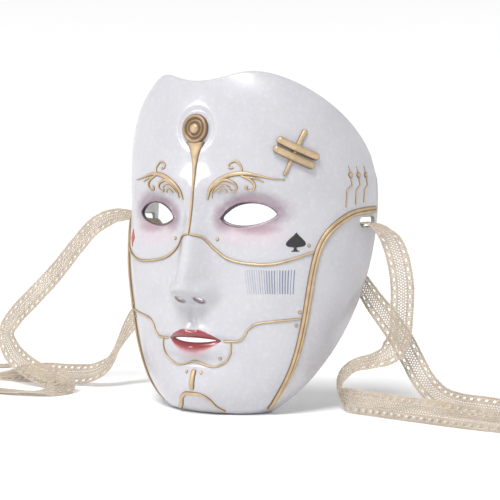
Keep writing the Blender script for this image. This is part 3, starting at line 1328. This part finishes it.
class MASK_OT_rivets(GiltMaker, bpy.types.Operator):
    """Set the small rivets, the temple studs and the ticks of the chin"""
    bl_idname = "mask.rivets"
    bl_label = "Rivets and studs"

    def head(self, stop, scale):
        """One rivet head at a stop of angle and z, scaled by its own three factors."""
        place, _, _, out = seat_basis(*stop)
        helper = loose_object("heads", [place * MM], vectors={"out": [out], "side": [scale]})
        tree = bpy.data.node_groups.get("Rivets on the face") or rivet_tree()
        build = Build()
        build.take(grown(helper, tree, {"Radius": sizes().rivet_radius, "Facets": sizes().rivet_rings}))
        return build

    def shapes(self):
        for number, stop in enumerate(RIVETS, 1):
            yield f"rivet_head_{number}", [f"rivet_{number}"], self.head(stop, (1, 1, 0.8))
        for number, (angle, _) in enumerate(TRACES, 1):
            stud = self.head((angle, STUD_Z), (1.7, 1.7, 1.3))
            yield f"temple_stud_{number}", [f"trace_stud_{number}"], stud
        for word, side in (("left", 1), ("right", -1)):
            stop, = front([(side * CHIN_MARK[0], CHIN_MARK[1])])
            yield f"chin_mark_{word}", [f"chin_tick_{word}"], self.head(stop, (0.85, 1.05, 0.8))


# ---------------------------------------------------------------- painted suits

def spade_width(level):
    """Half width of a spade 2 units tall, at a height from -1 to 1."""
    marks = [-1, -0.93, -0.8, -0.62, -0.54, -0.5, -0.42, -0.22, 0.05, 0.35, 0.65, 0.85, 1]
    wide = [0.36, 0.3, 0.15, 0.1, 0.16, 0.5, 0.7, 0.8, 0.72, 0.5, 0.25, 0.1, 0]
    return np.interp(level, marks, wide)


def diamond_width(level):
    return 0.66 * (1 - np.abs(level)) ** 1.08


def laid_shape(build, centre, width, half, lift=0.38):
    """A thin domed shape on the curve of the face; width gives its half width at each height."""
    levels = np.sin(np.linspace(-1, 1, 61) * math.pi / 2) * 0.998
    across = np.sin(np.linspace(-1, 1, 11) * math.pi / 2)
    wide = np.maximum(width(levels), 0.012)
    x = centre[0] + half * wide[:, None] * across
    z = centre[1] + half * levels[:, None] + 0 * x
    angle = angle_at(x, z)
    edge = (1 - np.abs(across) ** 4) * np.clip((1 - np.abs(levels[:, None])) / 0.06, 0, 1) ** 0.5
    out = face_normal(angle, z)
    top = face_point(angle, z) + (0.1 + (lift - 0.1) * edge)[..., None] * out
    under = face_point(angle, z) - 0.3 * out
    rows = np.concatenate([top, under[:, ::-1]], axis=1)
    build.add(rows.reshape(-1, 3), ring_faces(len(levels), rows.shape[1]), np.ones(rows[..., 0].size))


class MASK_OT_suits(Maker, bpy.types.Operator):
    """Lay the black spade and the red diamond under the eyes"""
    bl_idname = "mask.suits"
    bl_label = "Spade and diamond"

    def make(self):
        for name, node, side, width, half, paint, slot in (
                ("spade_mark", "spade", 1, spade_width, 6.6,
                 suit_paint("Black lacquer", (0.008, 0.008, 0.01), (0.04, 0.04, 0.045)), "suit_black"),
                ("diamond_mark", "diamond", -1, diamond_width, 6.6,
                 suit_paint("Red lacquer", (0.36, 0.008, 0.012), (0.52, 0.02, 0.025)), "suit_red")):
            build = Build()
            laid_shape(build, (side * 68, 122), width, half)
            piece = build.piece(name, paint, slot)
            closed(piece.data)
            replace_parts(piece, node)


# ---------------------------------------------------------------- inside pads

PAD_SIDES = 64
PAD_GAP = 0.5    # the glue between a pad and the wall
# A pad's outline from its glued side to its crown: share of its width, then of its thickness
PAD_LEVELS = [(0.05, 0.0), (0.5, 0.0), (0.9, 0.0), (0.98, 0.12), (1.0, 0.4), (0.985, 0.66), (0.95, 0.82),
              (0.87, 0.93), (0.7, 0.985), (0.4, 1.0), (0.04, 1.0)]


def cushion(x0, x1, z0, z1, thick, wall):
    """A soft pad on the inside of the face, crowned, with round corners."""
    rings = []
    cx, cz, hx, hz = (x0 + x1) / 2, (z0 + z1) / 2, (x1 - x0) / 2, (z1 - z0) / 2
    turn = np.arange(PAD_SIDES) / PAD_SIDES * 2 * math.pi
    round_x = np.sign(np.cos(turn)) * np.abs(np.cos(turn)) ** 0.45
    round_z = np.sign(np.sin(turn)) * np.abs(np.sin(turn)) ** 0.45
    for size, high in PAD_LEVELS:
        pinch = 1 - 0.03 * (1 - np.abs(np.cos(2 * turn))) * (high > 0)
        x = cx + hx * round_x * size * pinch
        z = cz + hz * round_z * size * pinch
        angle = angle_at(x, z)
        inward = -face_normal(angle, z, 2.5)
        depth = wall + PAD_GAP + high * thick
        rings.append(face_point(angle, z) + inward * depth)
    return np.vstack(rings), ring_faces(len(rings), PAD_SIDES)


PADS = {"brow_pad": (-36, 36, 180, 202, 6.6), "cheek_pad_left": (40, 58, 84, 106, 5.6),
        "cheek_pad_right": (-58, -40, 84, 106, 5.6)}


class MASK_OT_pads(Maker, bpy.types.Operator):
    """Make the soft pads that rest on the wearer's brow and cheeks"""
    bl_idname = "mask.pads"
    bl_label = "Foam pads"

    def make(self):
        foam = pad_foam()
        for node, (x0, x1, z0, z1, thick) in PADS.items():
            points, faces = cushion(x0, x1, z0, z1, thick, sizes().wall / MM)
            pad = new_mesh(node + "_foam", points, faces, [foam], "pad_foam", {})
            closed(pad.data)
            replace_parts(pad, node)


# ---------------------------------------------------------------- the stage

class MASK_OT_stage(Maker, bpy.types.Operator):
    """Set the pale floor, the soft lights and the camera"""
    bl_idname = "mask.stage"
    bl_label = "Floor, lights and camera"

    AIM = Vector((0.0161, 0.0117, 0.114))
    DISTANCE = 1.0
    AZIMUTH = 30.5 * RAD
    ELEVATION = 3 * RAD
    SUN_FROM = (0.1, -0.9, 1.25)
    SUN_STRENGTH = 2.1
    SUN_SPREAD = 22 * RAD
    FLOOR_EDGE = 6.0
    # Brightness of the surroundings, from the horizon up
    SKY = {"From Min": 0.06, "From Max": 0.5, "To Min": 1.05, "To Max": 0.5}
    # Each soft lamp's name, place, size and power
    BOXES = [("left_box", (-0.7, -1.1, 0.55), 0.3, 2.2), ("top_box", (0.15, -0.7, 1.3), 0.4, 2.4)]

    def make(self):
        edge = self.FLOOR_EDGE
        points = [(-edge, -edge, 0), (edge, -edge, 0), (edge, edge, 0), (-edge, edge, 0)]
        mesh = bpy.data.meshes.new("floor")
        mesh.from_pydata(points, [], [(0, 1, 2, 3)])
        mesh.materials.append(floor_paper())
        linked("floor", mesh)
        sun = bpy.data.lights.new("sun", "SUN")
        sun.energy, sun.angle = self.SUN_STRENGTH, self.SUN_SPREAD
        linked("sun", sun).rotation_euler = Vector(self.SUN_FROM).to_track_quat("Z", "Y").to_euler()
        for name, place, size, power in self.BOXES:
            lamp = bpy.data.lights.new(name, "AREA")
            lamp.shape, lamp.size, lamp.energy = "DISK", size, power
            self.aim(linked(name, lamp), place)
        world = bpy.data.worlds.new("studio")
        world.use_nodes = True
        tree = world.node_tree
        where = tree.nodes.new("ShaderNodeTexCoord")
        parts = tree.nodes.new("ShaderNodeSeparateXYZ")
        level = tree.nodes.new("ShaderNodeMapRange")
        tree.links.new(where.outputs["Generated"], parts.inputs[0])
        tree.links.new(parts.outputs["Z"], level.inputs["Value"])
        for key, value in self.SKY.items():
            level.inputs[key].default_value = value
        tree.links.new(level.outputs[0], tree.nodes["Background"].inputs["Strength"])
        tree.nodes["Background"].inputs["Color"].default_value = (1, 1, 1, 1)
        bpy.context.scene.world = world
        bpy.context.scene.view_settings.view_transform = "Standard"
        lens = bpy.data.cameras.new("camera")
        lens.lens, lens.sensor_width = 100.0, 36.0
        camera = linked("camera", lens)
        flat = self.DISTANCE * math.cos(self.ELEVATION)
        high = self.DISTANCE * math.sin(self.ELEVATION)
        away = Vector((flat * math.sin(self.AZIMUTH), -flat * math.cos(self.AZIMUTH), high))
        self.aim(camera, self.AIM + away)
        bpy.context.scene.camera = camera

    def aim(self, each, place):
        """Stands a lamp or the camera at a place and turns it to the middle of the view."""
        each.location = place
        each.rotation_euler = (self.AIM - each.location).to_track_quat("-Z", "Y").to_euler()


PIECES = [MASK_OT_stage, MASK_OT_ties, MASK_OT_shell, MASK_OT_medallion, MASK_OT_scrolls, MASK_OT_seams,
          MASK_OT_clip, MASK_OT_traces, MASK_OT_rivets, MASK_OT_suits, MASK_OT_pads]


class MASK_PT_panel(bpy.types.Panel):
    bl_idname = "MASK_PT_panel"
    bl_label = "Venetian mask"
    bl_space_type = "VIEW_3D"
    bl_region_type = "UI"
    bl_category = "Mask"

    def draw(self, context):
        for group in (context.scene.mask_sizes, context.scene.mask_look):
            for name in group.__annotations__:
                self.layout.prop(group, name)
        for piece in PIECES:
            self.layout.operator(piece.bl_idname)


CLASSES = [MaskSizes, MaskLook, *PIECES, MASK_PT_panel]


def register():
    for each in CLASSES:
        bpy.utils.register_class(each)
    bpy.types.Scene.mask_sizes = PointerProperty(type=MaskSizes)
    bpy.types.Scene.mask_look = PointerProperty(type=MaskLook)


def unregister():
    del bpy.types.Scene.mask_look
    del bpy.types.Scene.mask_sizes
    for each in reversed(CLASSES):
        bpy.utils.unregister_class(each)


def main():
    register()
    for piece in PIECES:
        getattr(bpy.ops.mask, piece.bl_idname.split(".")[1])()


if __name__ == "__main__":
    main()
